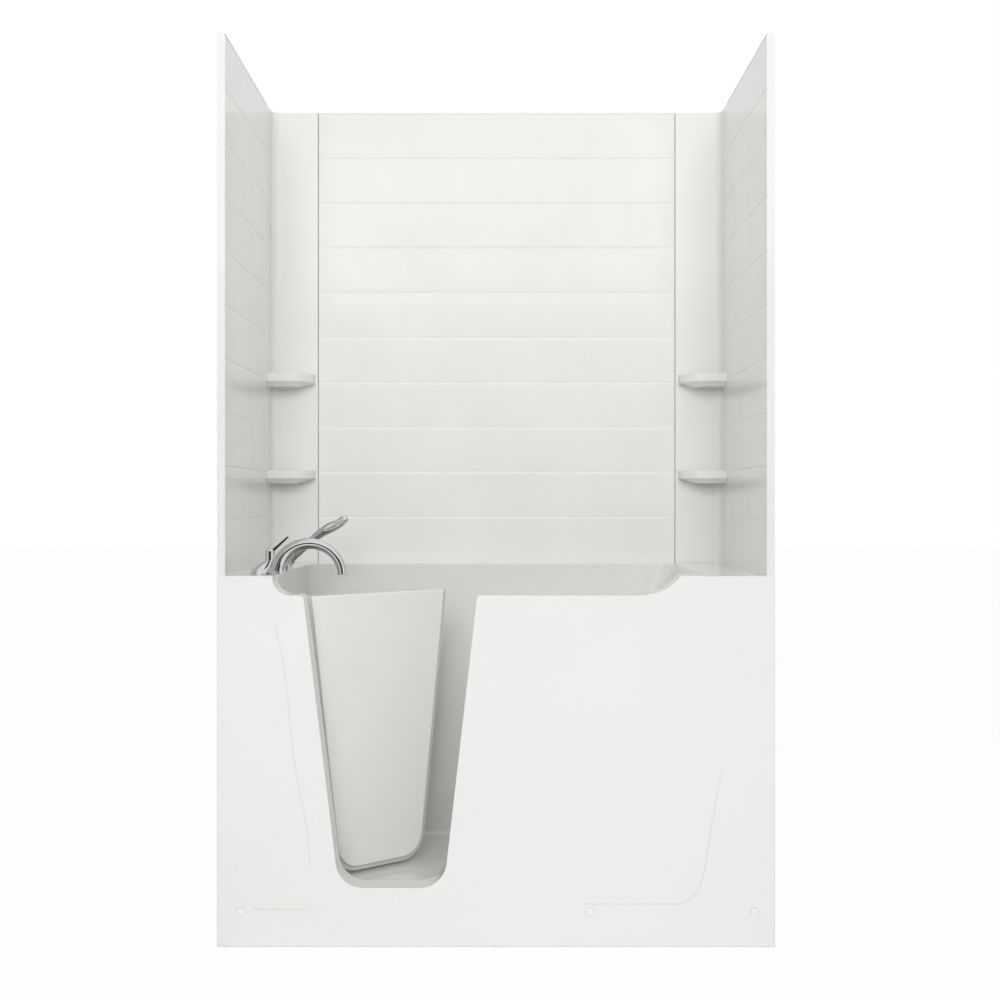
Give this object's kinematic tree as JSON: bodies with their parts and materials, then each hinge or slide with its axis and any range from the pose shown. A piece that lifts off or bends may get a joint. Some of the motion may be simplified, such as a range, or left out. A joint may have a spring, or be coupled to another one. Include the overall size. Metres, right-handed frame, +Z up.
{
  "type": "walk-in bathtub",
  "caption": "Walk-in jetted bathtub with an inward swinging door, a seat, deck taps, a hand shower and a tall tiled shower surround.",
  "frame": {"origin": "on the floor under the middle of the outer box", "axes": "+X to the viewer's right along the tub, +Y from the apron to the back wall, +Z up"},
  "size_m": [1.524, 0.762, 2.499],
  "materials": {
    "acrylic": "glossy white acrylic",
    "apron_acrylic": "satin white acrylic",
    "wall_acrylic": "glossy white acrylic with a tile pattern",
    "chrome": "polished chrome",
    "steel": "stainless steel",
    "frame_steel": "galvanised and painted tube",
    "seal_rubber": "soft pale rubber",
    "pipe_plastic": "white pipe",
    "pump_plastic": "black moulded plastic",
    "motor_paint": "dark painted aluminium",
    "cap_plastic": "white cap",
    "brass": "cast brass"
  },
  "bodies": {
    "tub": {"air_control": "chrome", "air_manifold": "pipe_plastic", "apron_screws": "steel", "back_wall_panel": "wall_acrylic", "base_frame": "frame_steel", "button_bezel": "chrome", "crossover_pipe": "brass", "deck_nuts": "brass", "diverter_collar": "chrome", "drain_flange": "chrome", "floor_bearers": "frame_steel", "frame_posts": "frame_steel", "front_apron": "apron_acrylic", "hand_shower_holder": "chrome", "hinge_leaves": "steel", "hinge_pins": "steel", "jet_bodies": "cap_plastic", "latch_keeper": "steel", "left_corner_panel": "wall_acrylic", "left_shelves": "wall_acrylic", "left_wall_panel": "wall_acrylic", "levelling_feet": "steel", "mixer_base": "chrome", "mixing_valve": "brass", "overflow_plate": "chrome", "pump_bracket": "frame_steel", "pump_motor": "motor_paint", "pump_wet_end": "pump_plastic", "right_corner_panel": "wall_acrylic", "right_shelves": "wall_acrylic", "right_wall_panel": "wall_acrylic", "screw_caps": "cap_plastic", "spout": "chrome", "suction_fitting": "chrome", "suction_pipe": "pipe_plastic", "tub_shell": "acrylic", "waste_pipe": "pipe_plastic", "water_manifold": "pipe_plastic"},
    "door": {"door_panel": "acrylic", "door_liner": "acrylic", "door_seal": "seal_rubber", "hinge_straps": "steel", "latch_rose": "chrome"},
    "latch": {"latch_tongue": "steel", "latch_lever": "chrome"},
    "drain_stopper": {"drain_stopper": "chrome"},
    "overflow_knob": {"overflow_knob": "chrome"},
    "impeller": {"pump_impeller": "pump_plastic"},
    "air_knob": {"air_knob": "chrome"},
    "pump_button": {"pump_button": "chrome"},
    "mixer_hub": {"mixer_hub": "chrome"},
    "mixer_blade": {"mixer_blade": "chrome"},
    "diverter_knob": {"diverter_knob": "chrome"},
    "hand_shower": {"hand_shower": "chrome"},
    "jet_nozzle_1": {"jet_nozzle_1": "cap_plastic"},
    "jet_nozzle_2": {"jet_nozzle_2": "cap_plastic"},
    "jet_nozzle_3": {"jet_nozzle_3": "cap_plastic"},
    "jet_nozzle_4": {"jet_nozzle_4": "cap_plastic"},
    "jet_nozzle_5": {"jet_nozzle_5": "cap_plastic"},
    "jet_nozzle_6": {"jet_nozzle_6": "cap_plastic"}
  },
  "joints": [
    {"name": "door_hinge", "type": "hinge", "parent": "tub", "child": "door", "pos_m": [-0.56, -0.291, 0.57], "axis": [0, 0, 1], "range_deg": [-39, 45]},
    {"name": "door_latch", "type": "hinge", "parent": "door", "child": "latch", "pos_m": [-0.23767, 0.00218, 0.7], "axis": [-0.6293, 0.7771, 0], "range_deg": [-90, 0]},
    {"name": "overflow_turn", "type": "hinge", "parent": "tub", "child": "overflow_knob", "pos_m": [-0.60844, 0.174, 0.88], "axis": [0.9999, 0, 0.0115], "range_deg": [0, 90]},
    {"name": "stopper_lift", "type": "slide", "parent": "tub", "child": "drain_stopper", "axis": [0, 0, 1], "range_m": [0, 0.012]},
    {"name": "impeller_spin", "type": "hinge", "parent": "tub", "child": "impeller", "pos_m": [0.58, 0.03, 0.235], "axis": [1, 0, 0], "continuous": true},
    {"name": "air_knob_turn", "type": "hinge", "parent": "tub", "child": "air_knob", "pos_m": [0.3, -0.301, 0.9], "axis": [0, 1, 0], "range_deg": [0, 180]},
    {"name": "pump_button_press", "type": "slide", "parent": "tub", "child": "pump_button", "axis": [0, 1, 0], "range_m": [-0.004, 0], "stiffness_N_per_m": 400},
    {"name": "mixer_turn", "type": "hinge", "parent": "tub", "child": "mixer_hub", "pos_m": [-0.634, -0.286, 1.056], "axis": [0, 0, 1], "range_deg": [-45, 45]},
    {"name": "mixer_lift", "type": "hinge", "parent": "mixer_hub", "child": "mixer_blade", "pos_m": [-0.634, -0.286, 1.074], "axis": [0, -1, 0], "range_deg": [0, 25]},
    {"name": "diverter_turn", "type": "hinge", "parent": "tub", "child": "diverter_knob", "pos_m": [-0.652, -0.041, 1.03], "axis": [0, 0, 1], "range_deg": [0, 90]},
    {"name": "hand_shower_lift", "type": "slide", "parent": "tub", "child": "hand_shower", "axis": [0.7385, 0, 0.6743], "range_m": [0, 0.12]},
    {"name": "jet_1_turn", "type": "hinge", "parent": "tub", "child": "jet_nozzle_1", "pos_m": [-0.43, 0.28272, 0.3616], "axis": [0, -0.9997, 0.0264], "range_deg": [0, 90]},
    {"name": "jet_2_turn", "type": "hinge", "parent": "tub", "child": "jet_nozzle_2", "pos_m": [-0.28, 0.28272, 0.3616], "axis": [0, -0.9997, 0.0264], "range_deg": [0, 90]},
    {"name": "jet_3_turn", "type": "hinge", "parent": "tub", "child": "jet_nozzle_3", "pos_m": [0.12, 0.29274, 0.741], "axis": [0, -0.9997, 0.0264], "range_deg": [0, 90]},
    {"name": "jet_4_turn", "type": "hinge", "parent": "tub", "child": "jet_nozzle_4", "pos_m": [0.33, 0.29274, 0.741], "axis": [0, -0.9997, 0.0264], "range_deg": [0, 90]},
    {"name": "jet_5_turn", "type": "hinge", "parent": "tub", "child": "jet_nozzle_5", "pos_m": [0.48439, -0.13, 0.76], "axis": [-0.9404, 0, 0.3402], "range_deg": [0, 90]},
    {"name": "jet_6_turn", "type": "hinge", "parent": "tub", "child": "jet_nozzle_6", "pos_m": [0.48439, 0.13, 0.76], "axis": [-0.9404, 0, 0.3402], "range_deg": [0, 90]}
  ],
  "couplings": [
    {"joint": "stopper_lift", "follows": "overflow_turn", "m_per_rad": 0.0076394}
  ]
}
